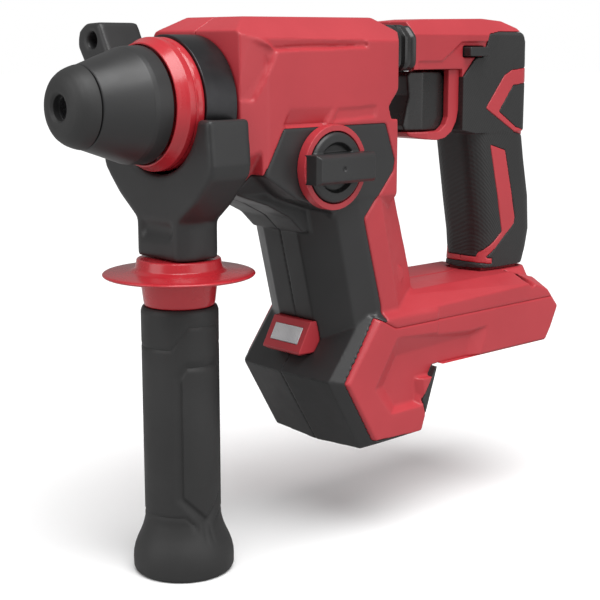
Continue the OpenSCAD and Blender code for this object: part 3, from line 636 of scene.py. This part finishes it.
def step_up(value, low, high):
    t = min(1, max(0, (value - low) / (high - low)))
    return t * t * (3 - 2 * t)


GRIP_PANEL = [
    (-8.5, -114), (-11.5, -118.5), (-11.5, -173), (0, -184), (11.5, -173), (11.5, -118.5), (8.5, -114),
]
UPPER_LINE = [(-30, -105.5), (-15.5, -105.5), (-7.5, -95.5), (7.5, -95.5), (15.5, -105.5), (30, -105.5)]
LOWER_LINE = [(-30, -182.5), (-10, -182.5), (0, -192), (10, -182.5), (30, -182.5)]
GRIP_R = 17.3


def grip_relief(z, radius, angle):
    """Height of the panel and depth of the parting lines, the same on both sides of the grip."""
    if not -195 < z < -89.5 or radius < 15:
        return 0
    turned = (angle + pi / 2) % pi
    away = turned - pi if turned > pi / 2 else turned
    p = (away * GRIP_R, z)
    edge = distance_to_line(p, GRIP_PANEL, closed=True)
    if inside(p, GRIP_PANEL):
        height = -1.1 + 1.1 * step_up(edge, 0.0, 1.0)
    else:
        height = -1.1 * (1 - step_up(edge, 0.0, 4.2))
    seam = min(distance_to_line(p, UPPER_LINE), distance_to_line(p, LOWER_LINE))
    return height - 0.6 * exp(-(seam / 0.5) ** 2)


def grip_sleeve():
    low, high = grip_low.z, grip_high.z
    stations = [high - 2.2 - 0.9 * i for i in range(118)]
    straight = [(z, GRIP_R) for z in stations if z > -186]
    outer = [(high, 16.2), (high - 0.5, 16.7), (high - 1.2, 17.0)] + straight + [
        (-187.5, 17.7), (-190.5, 18.5), (-193.5, 19.7), (-196.5, 21.1), (-199.5, 22.2), (-202.5, 22.85),
        (-205, 23.0), (low + 2.2, 22.9), (low + 1.0, 22.4), (low + 0.25, 21.5), (low, 20.3), (low, 6.0),
        (-198.2, 6.0), (-198.2, 12.01), (high, 12.01),
    ]
    piece = smooth(lathe("grip_sleeve_piece", outer, "z", (GRIP_X, 0, 0), 216, grip_relief))
    return finish_piece(piece, RUBBER, "soft_rubber", "side_grip", "grip_sleeve")


def grip_core():
    profile = rounded([
        (-67, 4.35), (-67, 18.0), (-67.4, 18.6), (-71.4, 19.4), (-72.6, 21.5), (-73.1, 30.0), (-73.4, 33.2),
        (-74.1, 34.0), (-74.9, 33.3), (-75.3, 30.0), (-75.9, 19.0), (-77.0, 17.1), (-86.2, 16.0), (-88, 15.6),
        (-88, 12), (-198, 12), (-198, 4.35),
    ], 0.6)
    piece = smooth(lathe("grip_core_piece", profile, "z", (GRIP_X, 0, 0)))
    return finish_piece(piece, RED_GLOSS, "red_plastic", "side_grip", "grip_core")


grip_sleeve()
grip_core()


# ---- Bellows ----

def bellows():
    """Rubber bellows with two ribs, between the housing and the handle."""
    section = [
        (-14, 34.5), (14, 34.5), (19, 29), (19, 15), (15, 12), (-15, 12), (-19, 15), (-19, 29),
    ]
    front, rear = bellows_low.x, bellows_high.x
    stations = [(front, -0.6), (front + 5.2, -0.6)]
    for crest in (177.6, 184.2):
        stations += [(crest - 1.9, -1.9), (crest - 1.2, -1.5), (crest - 0.7, -0.2), (crest, 0.0)]
        stations += [(crest + 2.4, 0.0), (crest + 3.1, -0.2), (crest + 3.6, -1.5), (crest + 4.2, -1.9)]
    stations += [(rear - 1.6, -0.5), (rear, -0.5)]
    middle = Vector((0, 24))

    def ring(x, grow):
        seam = tuple((Vector(section[-1]) + Vector(section[0])) / 2)
        soft = rounded([seam, *section, seam], 3, 3)
        out = []
        for p in soft[:-1]:
            v = Vector(p) - middle
            out.append((x, *(middle + v * (1 + grow / 14))))
        return out

    outer = [ring(x, grow) for x, grow in stations]
    inner = [ring(x, -4.5) for x, _ in (stations[-1], stations[0])]
    piece = loft("bellows_piece", outer + inner)
    bm = bmesh.new()
    bm.from_mesh(piece.data)
    caps = [f for f in bm.faces if len(f.verts) > 4]
    bmesh.ops.delete(bm, geom=caps, context="FACES_ONLY")
    edges = [e for e in bm.edges if e.is_boundary]
    bmesh.ops.bridge_loops(bm, edges=edges)
    bmesh.ops.recalc_face_normals(bm, faces=bm.faces)
    bm.to_mesh(piece.data)
    bm.free()
    smooth(piece, 50)
    piece.data.materials.append(BLACK_GLOSS)
    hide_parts("vibration_bellows")
    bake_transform(piece)
    return piece


bellows()


# ---- Spring of the locking sleeve ----

def sleeve_spring():
    """The coil between the sleeve's wall and the washer on the spindle."""
    piece = smooth(cad_copy("sleeve_spring_piece", "sleeve_spring"))
    finish_piece(piece, STEEL, "steel", None, "sleeve_spring")
    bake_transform(piece)


sleeve_spring()


# ---- CAD nodes that stay as they are ----

for name, node in NODES.items():
    if not node.hide_render:
        node.data.materials.clear()
        node.data.materials.append(SLOT_MATERIAL[NODE_SLOT[name]])


# ---- Floor, light and camera ----

def floor():
    size = 9.0
    bm = bmesh.new()
    bmesh.ops.create_grid(bm, x_segments=2, y_segments=2, size=size)
    piece = mesh_piece("studio_floor", bm, 1.0)
    piece.location.z = CAD_BOX[0].z
    material, tree, shader, at = start_material("studio_floor")
    clouds = noise_node(tree, at, 0.8, 2.0)
    colour = ramp_node(tree, clouds.outputs["Fac"], 0.3, 0.7, (0.97, 0.97, 0.97), (0.98, 0.98, 0.98))
    rays = tree.nodes.new("ShaderNodeLightPath")
    share = tree.nodes.new("ShaderNodeMapRange")
    share.inputs["To Min"].default_value = 0.45
    dimmed = tree.nodes.new("ShaderNodeVectorMath")
    dimmed.operation = "SCALE"
    shader.inputs["Roughness"].default_value = 0.8
    link_all(tree, [
        (rays.outputs["Is Camera Ray"], share.inputs["Value"]),
        (colour.outputs["Color"], dimmed.inputs[0]),
        (share.outputs["Result"], dimmed.inputs["Scale"]),
        (dimmed.outputs["Vector"], shader.inputs["Base Color"]),
    ])
    piece.data.materials.append(material)


def softbox(name, place, aim, size, power, colour=(1, 1, 1)):
    light = bpy.data.lights.new(name, "AREA")
    light.shape = "RECTANGLE"
    light.size, light.size_y = size
    light.energy = power
    light.color = colour
    lamp = bpy.data.objects.new(name, light)
    lamp.location = place
    lamp.rotation_mode = "QUATERNION"
    lamp.rotation_quaternion = (Vector(aim) - Vector(place)).to_track_quat("-Z", "Y")
    bpy.context.scene.collection.objects.link(lamp)


def studio():
    middle = (0.15, 0, -0.06)
    sky = bpy.data.lights.new("sky_light", "SUN")
    sky.energy = 3.1
    sky.angle = radians(50)
    lamp = bpy.data.objects.new("sky_light", sky)
    lamp.rotation_mode = "QUATERNION"
    lamp.rotation_quaternion = Vector((0.12, 0.42, -1)).to_track_quat("-Z", "Y")
    bpy.context.scene.collection.objects.link(lamp)
    softbox("left_light", (-1.1, 0.25, 0.55), middle, (0.9, 1.2), 6)
    softbox("right_light", (0.5, -1.3, 0.35), middle, (1.2, 1.0), 4.5)
    world = bpy.data.worlds.new("studio")
    world.use_nodes = True
    tree = world.node_tree
    rays = tree.nodes.new("ShaderNodeLightPath")
    strength = tree.nodes.new("ShaderNodeMapRange")
    strength.inputs["To Min"].default_value = 0.30
    strength.inputs["To Max"].default_value = 1.0
    tree.nodes["Background"].inputs["Color"].default_value = (1, 1, 1, 1)
    link_all(tree, [
        (rays.outputs["Is Camera Ray"], strength.inputs["Value"]),
        (strength.outputs["Result"], tree.nodes["Background"].inputs["Strength"]),
    ])
    bpy.context.scene.world = world
    bpy.context.scene.view_settings.view_transform = "Standard"


def camera():
    sight = bpy.data.cameras.new("camera")
    sight.lens = 78.8
    sight.sensor_width = 36
    sight.clip_start, sight.clip_end = 0.01, 50
    eye = bpy.data.objects.new("camera", sight)
    eye.location = Vector((-288.0, -458.4, 25.05)) * MM
    eye.rotation_mode = "QUATERNION"
    eye.rotation_quaternion = Vector((0.6632, 0.7237, -0.1908)).to_track_quat("-Z", "Y")
    bpy.context.scene.collection.objects.link(eye)
    bpy.context.scene.camera = eye


floor()
studio()
camera()
